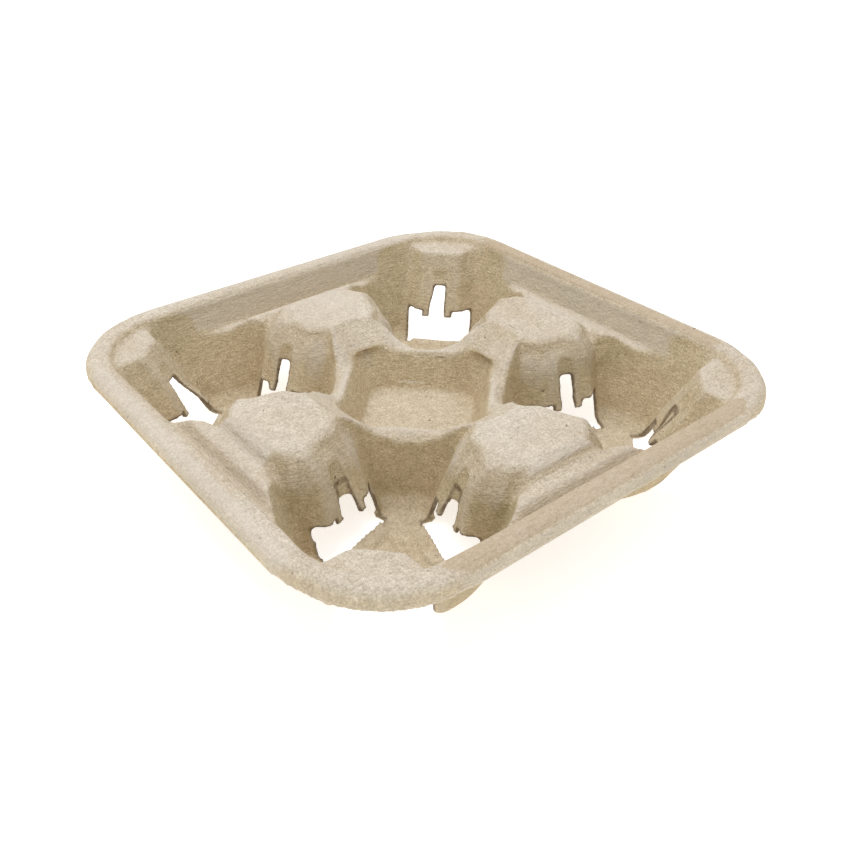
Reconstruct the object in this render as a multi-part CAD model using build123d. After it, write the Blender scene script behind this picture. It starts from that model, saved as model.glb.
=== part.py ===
"""Four-cup carrier tray, moulded in one piece from paper pulp.

The tray is one thin sheet.  Every feature is made twice, once for the upper
face of the sheet and once, moved down and sideways by the wall, for the lower
face; the sheet is what lies between the two.  The tray has four equal
quarters, so each quarter feature is made once and turned round the Z axis.

The origin is the middle of the tray at the level its feet stand on, +Z is up
and the sides run along X and Y.  All sizes are millimetres.
"""
from build123d import *
from math import sqrt
import os

# Whole tray
HEIGHT = 45.0
WALL = 1.9

# Rim: an outward roll with a short lip turned down
RIM_HALF = 108.0
RIM_CORNER = 43.0
RIM_WIDTH = 11.0
LIP_DROP = 6.0
ROLL_OUTER = 5.4
ROLL_INNER = 3.6

# Plateau: the level of the pedestal tops and of the four corner ledges
RIM_RISE = 3.9
LIP_Z = HEIGHT - LIP_DROP
PLATEAU_Z = HEIGHT - RIM_RISE
CREASE_HALF = RIM_HALF - RIM_WIDTH
CREASE_CORNER = RIM_CORNER - RIM_WIDTH

# Foot: a three-armed recess in each cell floor; a raised band is left by each opening
FOOT_DEPTH = 1.5
BAND_WIDTH = 6.0
BAND_HALF = 8.0
BAND_FLARE = (34.0, 26.0)

# Cup cells: an oblique cone, its top set outward so that the wall by the well is steeper
CELL_TO_CREASE = 46.8
CELL_OFFSET = CREASE_HALF - CELL_TO_CREASE
CELL_TOP_RADIUS = 43.1
CELL_TOP_SHIFT = 5.5
CELL_FLOOR_RADIUS = 32.0
CELL_FLOOR_Z = WALL + FOOT_DEPTH
CELL_BEVEL_RUN = 3.2
CELL_BEVEL_RISE = 2.6
FOOT_RADIUS = CELL_FLOOR_RADIUS - CELL_BEVEL_RUN - 1.0

# Bowl: where the rim wall runs down into the outer quarter of a cell
BOWL_TOP_INNER = -4.0
BOWL_FOOT_INNER = 2.0
BOWL_TOP_ROUND = 36.0
BOWL_FOOT_ROUND = 29.0

# Panels: flat inward facets of the cell wall that carry the openings.  U is the
# distance from the cell axis, W the distance to either side of the panel's middle.
CORNER_TOP_U = 40.5
CORNER_FLOOR_U = 18.2
CORNER_TOP_HALF = 8.5
CORNER_FOOT_HALF = 9.5
CORNER_TOP_FLANK = (54.0, 22.6)
CORNER_FOOT_FLANK = (36.0, 35.8)
SIDE_ANGLE = 117.0
SIDE_TOP_U = 28.9
SIDE_FLOOR_U = 14.8

# Pedestals: half outlines at the plateau and at the cell floor, as X and Y
# distances from the axis of the neighbouring cell
PEDESTAL_TOP = [(30.8, -33.7), (26.3, -26.7), (18.3, -24.4), (-0.2, -30.5), (-7.2, -39.2)]
PEDESTAL_FOOT = [(37.8, -31.2), (27.3, -19.2), (16.0, -10.4), (-6.8, -17.8), (-16.2, -31.2)]
PEDESTAL_ROUND = 5.0

# Stiffening channel along each side, from the rim wall in to the pedestal
CHANNEL_HALF_LENGTH = CELL_OFFSET
RIM_WALL_RUN = 3.9
GROOVE_DEPTH = 9.5
GROOVE_WIDTH = 2.6
BEAD_DEPTH = 4.8
BEAD_RUN = 3.5
BEAD_WIDTH = 4.0
SHOULDER_DEPTH = 7.9
SHOULDER_RUN = 2.5
SHOULDER_WIDTH = 12.5

# Ridge between the centre well and the cells
RIDGE_DEPTH = 10.8
RIDGE_WIDTH = 6.0
RIDGE_Z = PLATEAU_Z - RIDGE_DEPTH
DIP_OVER_WELL = 4.0
DIP_RUN = 12.0

# Centre well, square and turned to face the cells
WELL_FLOOR_Z = 13.7
WELL_TOP_HALF = sqrt(2) * CELL_OFFSET - 35.0 - RIDGE_WIDTH
WELL_RUN = 7.7
WELL_FLOOR_CORNER = 7.0
WELL_TOP_CORNER = 10.0

# Openings: an inverted T through each panel, with a tab on either side of its slot
CORNER_EDGE_U = 18.6
SIDE_EDGE_U = 15.4
OPENING_HALF = 15.5
OPENING_REACH = 40.0
LINTEL_Z = 15.2
TAB_Z = 12.4
TAB_WIDTH = 4.0
SLOT_WIDTH = 5.4
SLOT_TOP_Z = PLATEAU_Z - 15.0
MARK_HEIGHT = 6.5
MARK_DEPTH = 0.9

# Share of the wall by which a face moves sideways once it has moved down by the wall
POCKET_SPREAD = 0.8
BUMP_SPREAD = 0.65

# Working levels and sizes outside the tray, for solids that are cut away again
DEEP_Z = -10.0
GROUND_HALF = RIM_HALF + 20.0
HIGH_Z = HEIGHT + 15.0


def quarters(shape):
    """The shape four times round the Z axis, a quarter turn apart."""
    return [Rot(0, 0, 90 * turn) * shape for turn in range(4)]


def in_cell(shape, angle=0.0):
    """Move a shape from a cell's own frame, with U along +X, into the first quarter."""
    return Pos(CELL_OFFSET, CELL_OFFSET, 0) * Rot(0, 0, 45 + angle) * shape


def polygon(points):
    """A flat face with straight sides through the points."""
    return make_face(Polyline(points, close=True))


def square_plate(half, corner, low_z, high_z):
    """A square plate with rounded corners between two levels."""
    return extrude(Pos(0, 0, low_z) * RectangleRounded(2 * half, 2 * half, corner), high_z - low_z)


def tapered_round(low_z, low_radius, high_z, high_radius):
    """A cone cut off at two levels."""
    upright = (Align.CENTER, Align.CENTER, Align.MIN)
    return Pos(0, 0, low_z) * Cone(low_radius, high_radius, high_z - low_z, align=upright)


def panels():
    """Angle, top distance, floor distance and opening edge of a cell's three panels."""
    return [
        (0.0, CORNER_TOP_U, CORNER_FLOOR_U, CORNER_EDGE_U),
        (SIDE_ANGLE, SIDE_TOP_U, SIDE_FLOOR_U, SIDE_EDGE_U),
        (-SIDE_ANGLE, SIDE_TOP_U, SIDE_FLOOR_U, SIDE_EDGE_U),
    ]


def panel_u(z, top_u, floor_u):
    """Distance from the cell axis to a panel's upper face at a level."""
    return floor_u + (top_u - floor_u) * (z - CELL_FLOOR_Z) / (PLATEAU_Z - CELL_FLOOR_Z)


def rim_ring(drop):
    """The rolled rim, rounded over on both sides."""
    top_z = HEIGHT - drop
    ring = square_plate(RIM_HALF - drop, RIM_CORNER - drop, LIP_Z, top_z)
    ring -= square_plate(CREASE_HALF + drop, CREASE_CORNER + drop, LIP_Z - 1, top_z + 1)
    outer_edges = ring.faces().sort_by(Axis.Z)[-1].outer_wire().edges()
    ring = fillet(outer_edges, ROLL_OUTER - drop)
    inner_edges = ring.faces().sort_by(Axis.Z)[-1].inner_wires()[0].edges()
    return fillet(inner_edges, ROLL_INNER - drop / 2)


def cell_pocket(drop):
    """The round cup cell, narrower at the floor, with a bevel round its foot."""
    spread = POCKET_SPREAD * drop
    floor_z = CELL_FLOOR_Z - drop
    sections = []
    for shift, z, radius in (
        (0.0, floor_z, CELL_FLOOR_RADIUS - CELL_BEVEL_RUN),
        (0.0, floor_z + CELL_BEVEL_RISE, CELL_FLOOR_RADIUS),
        (CELL_TOP_SHIFT, PLATEAU_Z - drop, CELL_TOP_RADIUS),
    ):
        sections.append(Pos(shift, 0, z) * Circle(radius + spread))
    return in_cell(loft(sections, ruled=True))


def foot_recess(drop):
    """The three-armed recess that forms the foot of a cell."""
    shrink = BUMP_SPREAD * drop
    star = Circle(FOOT_RADIUS + shrink)
    flare_u, flare_half = BAND_FLARE
    for angle, _, _, edge_u in panels():
        front = edge_u - BAND_WIDTH + shrink
        band = polygon(
            [(front, BAND_HALF), (flare_u, flare_half), (flare_u, -flare_half), (front, -BAND_HALF)]
        )
        star -= Rot(0, 0, angle) * band
    floor_z = CELL_FLOOR_Z - FOOT_DEPTH - drop
    return in_cell(extrude(Pos(0, 0, floor_z) * star, FOOT_DEPTH + 0.5))


def bowl_pocket(drop):
    """The sloping rim wall where it closes round the outer quarter of a cell."""
    spread = POCKET_SPREAD * drop
    outward = Axis((0, 0, 0), (1, 1, 0))
    sections = []
    for z, inner, outer, corner in (
        (PLATEAU_Z, BOWL_TOP_INNER, CELL_TO_CREASE, BOWL_TOP_ROUND),
        (CELL_FLOOR_Z + CELL_BEVEL_RISE, BOWL_FOOT_INNER, CELL_FLOOR_RADIUS, BOWL_FOOT_ROUND),
    ):
        side = outer - inner + 2 * spread
        middle = CELL_OFFSET + (outer + inner) / 2
        square = Rectangle(side, side)
        square = fillet(square.vertices().sort_by(outward)[-1], corner + spread)
        sections.append(Pos(middle, middle, z - drop) * square)
    return loft(sections, ruled=True)


def corner_bump(drop):
    """The flat panel that stands into a cell at the tray corner, with its flanks."""
    shrink = BUMP_SPREAD * drop
    sections = []
    for z, front, half, (flank_u, flank_half) in (
        (PLATEAU_Z, CORNER_TOP_U, CORNER_TOP_HALF, CORNER_TOP_FLANK),
        (CELL_FLOOR_Z, CORNER_FLOOR_U, CORNER_FOOT_HALF, CORNER_FOOT_FLANK),
    ):
        front += shrink
        half -= shrink / 2
        flank_u += shrink
        flank_half -= shrink
        outline = [(front, half), (flank_u, flank_half), (flank_u, -flank_half), (front, -half)]
        sections.append(Pos(0, 0, z - drop) * polygon(outline))
    return in_cell(loft(sections, ruled=True))


def pedestal(drop):
    """The raised block in the middle of the +X side, rounded over at the top."""
    sections = []
    for z, half_outline in ((PLATEAU_Z, PEDESTAL_TOP), (CELL_FLOOR_Z, PEDESTAL_FOOT)):
        one_side = [(CELL_OFFSET + x, CELL_OFFSET + y) for x, y in half_outline]
        other_side = [(x, -y) for x, y in reversed(one_side)]
        face = polygon(one_side + other_side)
        if drop:
            face = offset(face, -BUMP_SPREAD * drop, kind=Kind.INTERSECTION)
        sections.append(Pos(0, 0, z - drop) * face)
    block = loft(sections, ruled=True)
    top_edges = block.faces().sort_by(Axis.Z)[-1].edges()
    return fillet(top_edges, PEDESTAL_ROUND - drop / 2)


def side_channel(drop):
    """Groove, bead and shoulder between the rim wall and the pedestal of the +X side."""
    spread = POCKET_SPREAD * drop
    shrink = BUMP_SPREAD * drop
    plateau_z = PLATEAU_Z - drop
    groove_outer = CREASE_HALF - RIM_WALL_RUN
    groove_inner = groove_outer - GROOVE_WIDTH
    bead_outer = groove_inner - BEAD_RUN
    bead_inner = bead_outer - BEAD_WIDTH
    shoulder_outer = bead_inner - SHOULDER_RUN
    shoulder_inner = shoulder_outer - SHOULDER_WIDTH
    section = [
        (CREASE_HALF + spread, plateau_z),
        (groove_outer + spread, plateau_z - GROOVE_DEPTH),
        (groove_inner - spread, plateau_z - GROOVE_DEPTH),
        (bead_outer - shrink, plateau_z - BEAD_DEPTH),
        (bead_inner + shrink, plateau_z - BEAD_DEPTH),
        (shoulder_outer + spread, plateau_z - SHOULDER_DEPTH),
        (shoulder_inner, plateau_z - SHOULDER_DEPTH),
        (shoulder_inner, HIGH_Z),
        (CREASE_HALF + spread, HIGH_Z),
    ]
    return extrude(Plane.XZ * polygon(section), CHANNEL_HALF_LENGTH + spread, both=True)


def centre_well(drop):
    """The well, and the dip that lowers the ridge round it below the pedestals."""
    spread = POCKET_SPREAD * drop
    sections = []
    for z, half, corner in (
        (WELL_FLOOR_Z, WELL_TOP_HALF - WELL_RUN, WELL_FLOOR_CORNER),
        (RIDGE_Z + 1, WELL_TOP_HALF, WELL_TOP_CORNER),
    ):
        side = 2 * (half + spread)
        square = RectangleRounded(side, side, corner + spread)
        sections.append(Pos(0, 0, z - drop) * Rot(0, 0, 45) * square)
    dip_radius = WELL_TOP_HALF + DIP_OVER_WELL + spread
    dip = tapered_round(RIDGE_Z - drop, dip_radius, PLATEAU_Z - drop, dip_radius + DIP_RUN)
    return loft(sections, ruled=True) + dip


def below_face(drop):
    """Everything that lies below one face of the sheet; drop is 0 for the upper face."""
    plateau_z = PLATEAU_Z - drop
    block = square_plate(CREASE_HALF + drop, CREASE_CORNER + drop, DEEP_Z, plateau_z)
    if drop:
        block += square_plate(GROUND_HALF, RIM_CORNER, DEEP_Z - drop, LIP_Z)
    block += rim_ring(drop)
    for pocket in (cell_pocket(drop), foot_recess(drop), bowl_pocket(drop), side_channel(drop)):
        block -= quarters(pocket)
    limit = square_plate(CREASE_HALF + drop, CREASE_CORNER + drop, DEEP_Z, plateau_z)
    for bump in (corner_bump(drop) & limit, pedestal(drop)):
        block += quarters(bump)
    return block - centre_well(drop)


def standing_rectangle(low_w, high_w, low_z, high_z):
    """A rectangle in the plane of W and Z."""
    middle = Pos((low_w + high_w) / 2, (low_z + high_z) / 2)
    return Plane.YZ * middle * Rectangle(high_w - low_w, high_z - low_z)


def opening(angle, top_u, floor_u, edge_u):
    """The cutter of one inverted-T opening and of the mark pressed above its slot."""
    slot_half = SLOT_WIDTH / 2
    tab_half = slot_half + TAB_WIDTH
    outline = standing_rectangle(-OPENING_HALF, OPENING_HALF, DEEP_Z, TAB_Z)
    outline += standing_rectangle(-slot_half, slot_half, TAB_Z, SLOT_TOP_Z)
    outline += standing_rectangle(-OPENING_HALF, -tab_half, TAB_Z, LINTEL_Z)
    outline += standing_rectangle(tab_half, OPENING_HALF, TAB_Z, LINTEL_Z)
    cutter = Pos(edge_u, 0, 0) * extrude(outline, OPENING_REACH, dir=(1, 0, 0))
    mark_low_z = SLOT_TOP_Z - 1
    mark_high_z = SLOT_TOP_Z + MARK_HEIGHT
    mark_low_u = panel_u(mark_low_z, top_u, floor_u) + MARK_DEPTH
    mark_high_u = panel_u(mark_high_z, top_u, floor_u) + MARK_DEPTH
    mark = polygon(
        [(0, mark_low_z), (mark_low_u, mark_low_z), (mark_high_u, mark_high_z), (0, mark_high_z)]
    )
    cutter += extrude(Plane.XZ * mark, slot_half, both=True)
    return in_cell(cutter, angle)


def cup_tray():
    """The sheet between the two faces, with its twelve openings."""
    tray = below_face(0.0) - below_face(WALL)
    for panel in panels():
        tray -= quarters(opening(*panel))
    return tray


os.makedirs("parts", exist_ok=True)
export_step(cup_tray(), "parts/cup_tray.step")
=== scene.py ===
"""Looks of the moulded pulp cup carrier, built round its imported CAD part.

The visible tray is a copy of the CAD node, remeshed so that every edge is as
soft as moulded pulp, then bowed, dented and bent where a real tray is.  The
shape work is in millimetres, in the same frame as the part's source, and is
turned into metres when it goes back into the mesh.
"""

import math

import bpy
import numpy as np
from mathutils import Matrix, Vector, noise


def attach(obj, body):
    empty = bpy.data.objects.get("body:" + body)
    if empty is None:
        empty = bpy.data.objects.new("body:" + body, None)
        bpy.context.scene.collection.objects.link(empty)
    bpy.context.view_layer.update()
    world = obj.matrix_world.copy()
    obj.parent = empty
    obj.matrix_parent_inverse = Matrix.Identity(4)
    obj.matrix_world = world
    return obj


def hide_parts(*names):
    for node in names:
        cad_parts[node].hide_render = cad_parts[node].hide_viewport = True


MM = 0.001

# A distance beyond every effect, in millimetres
FAR = 99.0

# Remeshing and smoothing
VOXEL = 0.85 * MM
SOFT_STEPS = 16
MAX_TRIANGLES = 190000

# Sizes of the tray that the shape work is placed by
CREST_Z = 45.0
LIP_Z = 39.0
CREASE_HALF = 97.0
CORNER_MIDDLE = 65.0
CORNER_REACH = 37.0
PLATEAU_Z = 41.1
CELL_OFFSET = 50.2
CELL_FLOOR_Z = 3.4
CORNER_PANEL = (40.5, 18.2, 18.6)
SIDE_PANEL = (28.9, 14.8, 15.4)
SIDE_ANGLE = 117.0
SLOT_HALF = 2.7
SLOT_TOP_Z = 26.1
TAB_HALF = 6.7
TAB_Z = 12.4
LINTEL_Z = 15.2
HOLE_HALF = 15.5
MARK_TOP_Z = 32.6

# Pedestals: how much narrower they grow towards the top, and their middle
PEDESTAL_MIDDLE = 63.0
PEDESTAL_TAPER = 0.13

# Ridge round the well: how far it rolls down towards the cells
RIDGE_REACH = 41.0
RIDGE_ROLL = 3.6

# How far the rim's sides bow out at the crest and in at the lip
CREST_BOW = 2.2
LIP_BOW = -1.0
BOW_REACH = 78.0

# Unevenness of the sheet: size of the lumps and how far they move it
WAVES = ((34.0, 0.60), (12.0, 0.38), (4.6, 0.16))
WAVE_SEED = 7

# Lobes beside the slots: (cell, panel, side) gives how far the lower edge of the
# lobe is bent outwards and sideways.  Cells are counted turning left from +X +Y.
BENT_LOBES = {
    (1, 0, 1): (0.6, 2.0),
    (1, 0, -1): (0.3, 0.2),
    (2, 0, -1): (-4.2, -0.8),
    (2, 0, 1): (1.6, 0.4),
    (0, 0, 1): (1.2, -1.0),
    (0, 0, -1): (-1.8, -0.8),
    (3, 2, 1): (1.4, 0.6),
    (3, 2, -1): (-1.2, -0.5),
    (3, 1, 1): (-1.0, 0.5),
    (3, 1, -1): (1.2, -0.6),
}
IDLE_BEND = 0.7

# Slots whose upper part was never punched through, and where the hole begins
CLOSED_SLOTS = {(3, 2): 20.4, (3, 1): 20.8, (0, 0): 14.0}

# Camera, placed round the middle of the rim's crest
AZIMUTH = math.radians(51.26)
ELEVATION = math.radians(29.56)
ROLL = math.radians(-0.1)
DISTANCE = 376.6 * MM
LENS = 40.08
SENSOR = 36.0
SHIFT = (0.0085, -0.083)


def link(thing):
    """Put an object into the scene."""
    bpy.context.scene.collection.objects.link(thing)
    return thing


def cell_frame(cell, panel):
    """Middle, outward and sideways directions of a cell's panel, in the XY plane."""
    turn = math.radians(90.0 * cell)
    diagonal = turn + math.pi / 4
    middle = CELL_OFFSET * math.sqrt(2) * np.array([math.cos(diagonal), math.sin(diagonal)])
    angle = turn + math.radians(45.0 + (0.0, SIDE_ANGLE, -SIDE_ANGLE)[panel])
    outward = np.array([math.cos(angle), math.sin(angle)])
    sideways = np.array([-outward[1], outward[0]])
    return middle, outward, sideways


def panel_sizes(panel):
    """Top distance, floor distance and opening edge of a panel."""
    return CORNER_PANEL if panel == 0 else SIDE_PANEL


def panel_u(z, panel):
    """Distance from the cell axis to a panel's inner face at a level."""
    top_u, floor_u, _ = panel_sizes(panel)
    return floor_u + (top_u - floor_u) * (z - CELL_FLOOR_Z) / (PLATEAU_Z - CELL_FLOOR_Z)


def to_panel(points, cell, panel):
    """Outward and sideways distances of the points in a panel's frame."""
    middle, outward, sideways = cell_frame(cell, panel)
    flat = points[:, :2] - middle
    return flat @ outward, flat @ sideways


def smoothstep(x, low, high):
    """0 below low, 1 above high, with a soft passage between."""
    t = np.clip((x - low) / (high - low), 0.0, 1.0)
    return t * t * (3.0 - 2.0 * t)


def slot_plug(cell, panel, hole_top):
    """Corners and faces of the pulp left in the upper part of a slot."""
    middle, outward, sideways = cell_frame(cell, panel)
    corners = []
    for z in (hole_top, SLOT_TOP_Z + 1.0):
        for depth in (0.5, 2.0):
            for w in (-SLOT_HALF - 1.0, SLOT_HALF + 1.0):
                x, y = middle + (panel_u(z, panel) + depth) * outward + w * sideways
                corners.append((x * MM, y * MM, z * MM))
    faces = [(0, 1, 3, 2), (4, 6, 7, 5), (0, 4, 5, 1), (2, 3, 7, 6), (0, 2, 6, 4), (1, 5, 7, 3)]
    return corners, faces


def joined_source(node):
    """The CAD node's mesh with the slot plugs added, as one new mesh."""
    source = node.data
    points = [tuple(v.co) for v in source.vertices]
    faces = [tuple(p.vertices) for p in source.polygons]
    for (cell, panel), hole_top in CLOSED_SLOTS.items():
        corners, sides = slot_plug(cell, panel, hole_top)
        start = len(points)
        points += corners
        faces += [tuple(start + i for i in side) for side in sides]
    mesh = bpy.data.meshes.new("pulp_tray")
    mesh.from_pydata(points, [], faces)
    return mesh


def apply_modifiers(piece):
    """Turn a piece's modified shape into its own mesh."""
    graph = bpy.context.evaluated_depsgraph_get()
    shaped = bpy.data.meshes.new_from_object(piece.evaluated_get(graph))
    piece.modifiers.clear()
    piece.data = shaped


def read_points(mesh):
    """The mesh's points in millimetres."""
    points = np.empty(len(mesh.vertices) * 3)
    mesh.vertices.foreach_get("co", points)
    return points.reshape(-1, 3) / MM


def write_points(mesh, points):
    """Move the mesh's points to these places, given in millimetres."""
    mesh.vertices.foreach_set("co", (points * MM).ravel())
    mesh.update()


def hole_outline():
    """Corners of an inverted-T opening, as sideways distance and level."""
    half = [
        (SLOT_HALF, SLOT_TOP_Z),
        (SLOT_HALF, TAB_Z),
        (TAB_HALF, TAB_Z),
        (TAB_HALF, LINTEL_Z),
        (HOLE_HALF, LINTEL_Z),
        (HOLE_HALF, CELL_FLOOR_Z - 1.5),
    ]
    return half + [(-w, z) for w, z in reversed(half)]


def mark_outline():
    """Corners of the groove stamped into the sheet above a slot, along which painted shade is drawn."""
    half = [(SLOT_HALF, SLOT_TOP_Z), (SLOT_HALF, MARK_TOP_Z)]
    return half + [(-w, z) for w, z in reversed(half)]


def outline_distance(points, corners):
    """How far each point is from an outline that every panel carries."""
    distance = np.full(len(points), FAR)
    for cell in range(4):
        for panel in range(3):
            u, w = to_panel(points, cell, panel)
            z = points[:, 2]
            near = (np.abs(w) < 19) & (z < 36) & (u > 10) & (u < 42)
            spot = np.stack([w[near], z[near]], axis=1)
            best = np.full(len(spot), FAR)
            for start, end in zip(corners, corners[1:] + corners[:1]):
                start, end = np.array(start), np.array(end)
                along = end - start
                t = np.clip(((spot - start) @ along) / (along @ along), 0.0, 1.0)
                gap = np.linalg.norm(spot - start - t[:, None] * along, axis=1)
                best = np.minimum(best, gap)
            beyond = np.maximum(0.0, panel_sizes(panel)[2] - u[near])
            best = np.hypot(best, beyond)
            distance[near] = np.minimum(distance[near], best)
    return distance


def edge_closeness(points):
    """1 on the torn edges of the openings and the lip, falling to 0 a little way off."""
    distance = outline_distance(points, hole_outline())
    lip = np.maximum(0.0, points[:, 2] - LIP_Z) + FAR * (points[:, 2] < LIP_Z - 1.0)
    outer = np.maximum(np.abs(points[:, 0]), np.abs(points[:, 1])) < CREASE_HALF + 4
    from_corner = np.abs(points[:, :2]) - CORNER_MIDDLE
    inner = np.hypot(from_corner[:, 0], from_corner[:, 1]) < CORNER_REACH
    lip = lip + FAR * (outer & inner)
    return np.exp(-(distance / 1.5) ** 2), np.exp(-(lip / 1.3) ** 2)


def bow_rim(points):
    """Bow the sides of the rim out at the crest and in at the lip."""
    for axis in (0, 1):
        side, along = points[:, axis], points[:, 1 - axis]
        reach = np.clip(1.0 - (along / BOW_REACH) ** 2, 0.0, None)
        height = (points[:, 2] - LIP_Z) / (CREST_Z - LIP_Z)
        amount = LIP_BOW + (CREST_BOW - LIP_BOW) * np.clip(height, 0.0, 1.0)
        share = smoothstep(np.abs(side), CREASE_HALF - 0.5, CREASE_HALF + 4.0)
        points[:, axis] = side + np.sign(side) * reach * amount * share


def taper_pedestals(points):
    """Draw the top of every pedestal in towards its middle."""
    for axis, sign in ((0, 1), (0, -1), (1, 1), (1, -1)):
        out, along = sign * points[:, axis], points[:, 1 - axis]
        share = PEDESTAL_TAPER * smoothstep(points[:, 2], 29.0, 40.0)
        share *= smoothstep(out, 37.0, 45.0) * (1.0 - smoothstep(out, 79.0, 84.0))
        share *= 1.0 - smoothstep(np.abs(along), 23.0, 30.0)
        points[:, axis] = sign * (out - share * (out - PEDESTAL_MIDDLE))
        points[:, 1 - axis] = along * (1.0 - share)


def roll_ridge(points):
    """Roll the ridge round the well down towards the cells."""
    for cell in range(4):
        middle, outward, sideways = cell_frame(cell, 0)
        flat = points[:, :2] - middle
        share = smoothstep(RIDGE_REACH - np.hypot(flat[:, 0], flat[:, 1]), 0.0, 6.0)
        share *= 1.0 - smoothstep(np.abs(flat @ sideways), 13.0, 20.0)
        share *= smoothstep(points[:, 2], 16.0, 30.0) * (flat @ outward < 0.0)
        points[:, 2] -= RIDGE_ROLL * share


def bend_lobes(points):
    """Bend the lobes beside every slot outwards and sideways."""
    for cell in range(4):
        for panel in range(3):
            u, w = to_panel(points, cell, panel)
            z = points[:, 2]
            _, outward, sideways = cell_frame(cell, panel)
            for side in (-1, 1):
                idle = IDLE_BEND * noise.noise(Vector((cell * 3.1, panel * 5.7, side * 2.3)))
                out, across = BENT_LOBES.get((cell, panel, side), (idle, 0.0))
                reach = side * w
                hinge_z = SLOT_TOP_Z - (reach - SLOT_HALF) * 0.85
                share = smoothstep(hinge_z - z, 0.0, 12.0) * smoothstep(reach, 0.0, 2.0)
                share *= 1.0 - smoothstep(reach, 11.0, 15.0)
                share *= smoothstep(z, 7.5, 10.5)
                share *= np.abs(u - panel_u(z, panel) - 1.0) < 6.0
                points[:, :2] += share[:, None] * (out * outward + across * sideways)


def make_uneven(points):
    """Move the whole sheet by soft waves, though not below the level it stands on."""
    noise.seed_set(WAVE_SEED)
    for size, amount in WAVES:
        shift = np.array([noise.noise_vector(Vector(p / size)) for p in points])
        points += amount * shift
    points[:, 2] = np.maximum(points[:, 2], 0.0)


def curvature(mesh, points):
    """Smoothed sign of bending: above 0 on ridges, below 0 in creases."""
    edges = np.empty(len(mesh.edges) * 2, int)
    mesh.edges.foreach_get("vertices", edges)
    a, b = edges.reshape(-1, 2).T
    count = np.bincount(a, minlength=len(points)) + np.bincount(b, minlength=len(points))
    normals = np.empty(len(points) * 3)
    mesh.vertices.foreach_get("normal", normals)
    normals = normals.reshape(-1, 3)

    def average(values):
        total = np.zeros_like(values)
        np.add.at(total, a, values[b])
        np.add.at(total, b, values[a])
        return total / count.reshape((-1,) + (1,) * (values.ndim - 1))

    bend = np.einsum("ij,ij->i", points - average(points), normals)
    for _ in range(4):
        bend = average(bend)
    return bend


def store(mesh, name, values):
    """Keep one number per point on the mesh, for the material."""
    layer = mesh.attributes.new(name, "FLOAT", "POINT")
    layer.data.foreach_set("value", values.astype(np.float32))


def build_tray(node):
    """The visible tray."""
    piece = link(bpy.data.objects.new("pulp_tray", joined_source(node)))
    weld = piece.modifiers.new("weld", "WELD")
    weld.merge_threshold = 1e-6
    remesh = piece.modifiers.new("remesh", "REMESH")
    remesh.mode = "VOXEL"
    remesh.voxel_size = VOXEL
    apply_modifiers(piece)
    hole, lip = edge_closeness(read_points(piece.data))
    group = piece.vertex_groups.new(name="soft")
    softness = np.round(1.0 - np.clip(0.7 * hole + 0.8 * lip, 0.0, 0.9), 1)
    for level in np.unique(softness):
        group.add(np.nonzero(softness == level)[0].tolist(), float(level), "REPLACE")
    smooth = piece.modifiers.new("smooth", "SMOOTH")
    smooth.factor = 0.5
    smooth.iterations = SOFT_STEPS
    smooth.vertex_group = "soft"
    thin = piece.modifiers.new("thin", "DECIMATE")
    thin.ratio = min(1.0, MAX_TRIANGLES / (2 * len(piece.data.polygons)))
    apply_modifiers(piece)
    mesh = piece.data
    points = read_points(mesh)
    hole, lip = edge_closeness(points)
    store(mesh, "dark_edge", np.clip(hole + 0.5 * lip, 0.0, 1.0))
    # Painted shade along the groove above each slot.
    store(mesh, "groove_shade", np.exp(-(outline_distance(points, mark_outline()) / 0.7) ** 2))
    taper_pedestals(points)
    roll_ridge(points)
    bend_lobes(points)
    bow_rim(points)
    make_uneven(points)
    write_points(mesh, points)
    # The bending drives a painted highlight on ridges and painted shade in creases.
    store(mesh, "ridge", curvature(mesh, points))
    mesh.polygons.foreach_set("use_smooth", np.ones(len(mesh.polygons), bool))
    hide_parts("cup_tray")
    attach(piece, "root")
    return piece


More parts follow.
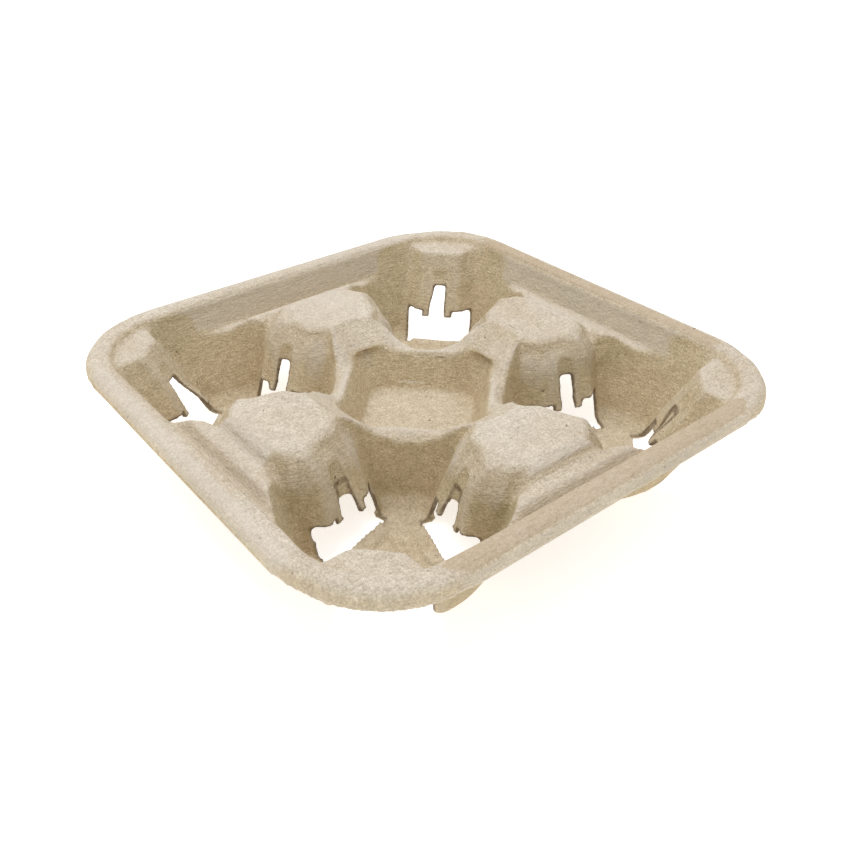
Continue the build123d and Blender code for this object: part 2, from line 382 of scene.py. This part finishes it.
class Nodes:
    """A short way to add shader nodes to one material."""

    def __init__(self, material):
        material.use_nodes = True
        self.tree = material.node_tree
        self.shader = self.tree.nodes["Principled BSDF"]
        place = self.tree.nodes.new("ShaderNodeTexCoord")
        self.place = place.outputs["Object"]

    def join(self, source, target):
        self.tree.links.new(source, target)

    def attribute(self, name):
        node = self.tree.nodes.new("ShaderNodeAttribute")
        node.attribute_name = name
        return node.outputs["Fac"]

    def stretched(self, scale):
        """The place on the object, drawn out along an axis."""
        node = self.tree.nodes.new("ShaderNodeMapping")
        node.inputs["Scale"].default_value = scale
        self.join(self.place, node.inputs["Vector"])
        return node.outputs["Vector"]

    def noise(self, scale, detail=3.0, roughness=0.6, place=None, distortion=0.0):
        node = self.tree.nodes.new("ShaderNodeTexNoise")
        node.inputs["Scale"].default_value = scale
        node.inputs["Detail"].default_value = detail
        node.inputs["Roughness"].default_value = roughness
        node.inputs["Distortion"].default_value = distortion
        self.join(place or self.place, node.inputs["Vector"])
        return node.outputs["Fac"]

    def range(self, value, low, high, to_low=0.0, to_high=1.0):
        node = self.tree.nodes.new("ShaderNodeMapRange")
        node.inputs["From Min"].default_value = low
        node.inputs["From Max"].default_value = high
        node.inputs["To Min"].default_value = to_low
        node.inputs["To Max"].default_value = to_high
        self.join(value, node.inputs["Value"])
        return node.outputs["Result"]

    def math(self, kind, a, b):
        node = self.tree.nodes.new("ShaderNodeMath")
        node.operation = kind
        for value, socket in ((a, node.inputs[0]), (b, node.inputs[1])):
            if isinstance(value, (int, float)):
                socket.default_value = value
            else:
                self.join(value, socket)
        return node.outputs["Value"]

    def mix(self, amount, a, b, kind="MIX"):
        node = self.tree.nodes.new("ShaderNodeMix")
        node.data_type = "RGBA"
        node.blend_type = kind
        for value, socket in ((a, node.inputs[6]), (b, node.inputs[7])):
            if isinstance(value, tuple):
                socket.default_value = (*value, 1.0)
            else:
                self.join(value, socket)
        if isinstance(amount, (int, float)):
            node.inputs[0].default_value = amount
        else:
            self.join(amount, node.inputs[0])
        return node.outputs[2]


# Colours of the pulp. The pale one is a lit copy of the pulp colour, used only as painted highlight on high
# upward faces and on ridges.
PALE_HIGHLIGHT = (0.675, 0.610, 0.530)
PULP = (0.645, 0.540, 0.370)
# Warm brown: used for real warm patches, and as painted shade in creases.
WARM_AND_CREASE_SHADE = (0.470, 0.350, 0.220)
GREEN = (0.410, 0.365, 0.230)
# Dark brown: along the edges of the openings and the lip, and as painted shade in the grooves above the
# slots.
DARK_EDGE_AND_SHADE = (0.150, 0.100, 0.055)


def pulp_material():
    """Unbleached pulp: mottled, fibrous, with a few dark specks and dark brown edges, plus painted light:
    painted highlights on high upward faces and on ridges, and painted shade low down, in creases and in the
    grooves above the slots.
    """
    material = bpy.data.materials.new("pulp")
    n = Nodes(material)
    patches = n.range(n.noise(26.0, 3.0, 0.55), 0.35, 0.70)
    mottle = n.range(n.noise(330.0, 5.0, 0.72), 0.32, 0.70)
    grain = n.range(n.noise(1300.0, 3.0, 0.75), 0.36, 0.66)
    normal = n.tree.nodes.new("ShaderNodeNewGeometry")
    upright = n.tree.nodes.new("ShaderNodeSeparateXYZ")
    n.join(normal.outputs["Normal"], upright.inputs[0])
    # Painted light: faces turned up, the more so the higher they lie, are drawn towards the pale colour as
    # a painted highlight; steep and low surfaces keep the darker pulp colour as painted shade.
    facing_up = n.range(upright.outputs["Z"], 0.35, 0.95)
    height = n.tree.nodes.new("ShaderNodeSeparateXYZ")
    n.join(n.place, height.inputs[0])
    raised = n.range(height.outputs["Z"], 0.006, 0.040, 0.45, 1.0)
    lit = n.math("MULTIPLY", facing_up, raised)
    color = n.mix(lit, PULP, PALE_HIGHLIGHT)
    color = n.mix(n.math("MULTIPLY", patches, 0.35), color, WARM_AND_CREASE_SHADE)
    low_green = n.math("MULTIPLY", n.range(n.noise(17.0, 2.0, 0.5, distortion=0.6), 0.48, 0.72), 0.5)
    low_green = n.math("MULTIPLY", low_green, n.range(facing_up, 0.0, 0.6, 1.0, 0.0))
    color = n.mix(low_green, color, GREEN)
    color = n.mix(0.75, color, n.mix(mottle, (0.80, 0.78, 0.74), (1.14, 1.14, 1.14)), "MULTIPLY")
    color = n.mix(1.0, color, n.mix(grain, (0.78, 0.75, 0.68), (1.22, 1.23, 1.23)), "MULTIPLY")
    fibre_place = n.stretched((1.0, 0.35, 1.6))
    fibres = n.range(n.noise(620.0, 2.0, 0.5, fibre_place, 1.2), 0.60, 0.74)
    color = n.mix(n.math("MULTIPLY", fibres, 0.30), color, (0.33, 0.25, 0.16))
    specks = n.range(n.noise(480.0, 1.0, 0.3), 0.785, 0.800)
    color = n.mix(n.math("MULTIPLY", specks, 0.75), color, (0.12, 0.075, 0.045))
    ridge = n.attribute("ridge")
    # Painted highlight on convex ridges and painted shade in concave creases.
    color = n.mix(n.range(ridge, 0.015, 0.085, 0.0, 0.45), color, PALE_HIGHLIGHT)
    color = n.mix(n.range(ridge, -0.10, -0.02, 0.55, 0.0), color, WARM_AND_CREASE_SHADE)
    # Darker brown along the edges of the openings and the lip, broken up by the mottle.
    edge_darkening = n.math("MULTIPLY", n.attribute("dark_edge"), n.range(mottle, 0.0, 1.0, 0.55, 1.15))
    color = n.mix(n.range(edge_darkening, 0.35, 0.85, 0.0, 0.85), color, DARK_EDGE_AND_SHADE)
    # Painted shade: a dark line along the groove above each slot, standing in for the shade inside it.
    groove_shade = n.math("MULTIPLY", n.attribute("groove_shade"), n.range(mottle, 0.0, 1.0, 0.1, 1.1))
    color = n.mix(n.range(groove_shade, 0.3, 1.0, 0.0, 0.55), color, DARK_EDGE_AND_SHADE)
    n.join(color, n.shader.inputs["Base Color"])
    n.shader.inputs["Roughness"].default_value = 0.93
    n.shader.inputs["Specular IOR Level"].default_value = 0.18
    lumps = n.noise(230.0, 4.0, 0.62)
    fine = n.math("MULTIPLY", n.noise(820.0, 3.0, 0.65, fibre_place, 0.8), 0.80)
    wire_place = n.stretched((0.25, 0.25, 1.0))
    wires = n.math("MULTIPLY", n.noise(1250.0, 1.0, 0.4, wire_place), 0.35)
    relief = n.math("ADD", n.math("ADD", lumps, fine), wires)
    bump = n.tree.nodes.new("ShaderNodeBump")
    bump.inputs["Strength"].default_value = 0.95
    bump.inputs["Distance"].default_value = 0.0009
    n.join(relief, bump.inputs["Height"])
    n.join(bump.outputs["Normal"], n.shader.inputs["Normal"])
    return material


def plain_floor():
    """A plain pale floor, not part of the object."""
    half = 4.0
    mesh = bpy.data.meshes.new("floor")
    corners = [(-half, -half, 0), (half, -half, 0), (half, half, 0), (-half, half, 0)]
    mesh.from_pydata(corners, [], [(0, 1, 2, 3)])
    material = bpy.data.materials.new("floor")
    material.use_nodes = True
    shader = material.node_tree.nodes["Principled BSDF"]
    shader.inputs["Base Color"].default_value = (0.93, 0.93, 0.935, 1.0)
    shader.inputs["Roughness"].default_value = 0.9
    shader.inputs["Specular IOR Level"].default_value = 0.0
    shader.inputs["Emission Color"].default_value = (1.0, 1.0, 1.0, 1.0)
    shader.inputs["Emission Strength"].default_value = 0.58
    mesh.materials.append(material)
    link(bpy.data.objects.new("floor", mesh))


def area_light(name, place, target, size, power):
    """A soft square lamp that faces the target."""
    lamp = bpy.data.lights.new(name, "AREA")
    lamp.size = size
    lamp.energy = power
    holder = link(bpy.data.objects.new(name, lamp))
    holder.location = place
    holder.rotation_euler = (Vector(target) - Vector(place)).to_track_quat("-Z", "Y").to_euler()


def studio_light():
    """An even white surround and one large soft lamp above."""
    world = bpy.data.worlds.new("studio")
    world.use_nodes = True
    background = world.node_tree.nodes["Background"]
    background.inputs["Color"].default_value = (1.0, 1.0, 1.0, 1.0)
    background.inputs["Strength"].default_value = 0.70
    bpy.context.scene.world = world
    area_light("top_lamp", (-0.25, -0.05, 1.1), (0.0, 0.0, 0.0), 0.9, 7.5)


def photo_camera():
    """The camera at the height and angle of the object's photograph."""
    data = bpy.data.cameras.new("camera")
    data.lens = LENS
    data.sensor_width = SENSOR
    data.shift_x, data.shift_y = SHIFT
    camera = link(bpy.data.objects.new("camera", data))
    level = math.cos(ELEVATION)
    back = Vector((math.sin(AZIMUTH) * level, -math.cos(AZIMUTH) * level, math.sin(ELEVATION)))
    turn = (-back).to_track_quat("-Z", "Y").to_matrix() @ Matrix.Rotation(ROLL, 3, "Z")
    camera.matrix_world = Matrix.Translation(Vector((0, 0, CREST_Z * MM)) + DISTANCE * back) @ turn.to_4x4()
    bpy.context.scene.camera = camera


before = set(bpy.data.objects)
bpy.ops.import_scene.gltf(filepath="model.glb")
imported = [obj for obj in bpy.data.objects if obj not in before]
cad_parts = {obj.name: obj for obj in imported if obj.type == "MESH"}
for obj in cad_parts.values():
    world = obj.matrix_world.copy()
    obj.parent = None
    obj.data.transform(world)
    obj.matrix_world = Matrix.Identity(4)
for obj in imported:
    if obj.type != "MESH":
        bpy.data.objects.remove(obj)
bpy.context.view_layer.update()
tray = build_tray(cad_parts["cup_tray"])
tray.data.materials.clear()
tray.data.materials.append(pulp_material())
plain_floor()
studio_light()
photo_camera()
bpy.context.scene.view_settings.view_transform = "Standard"
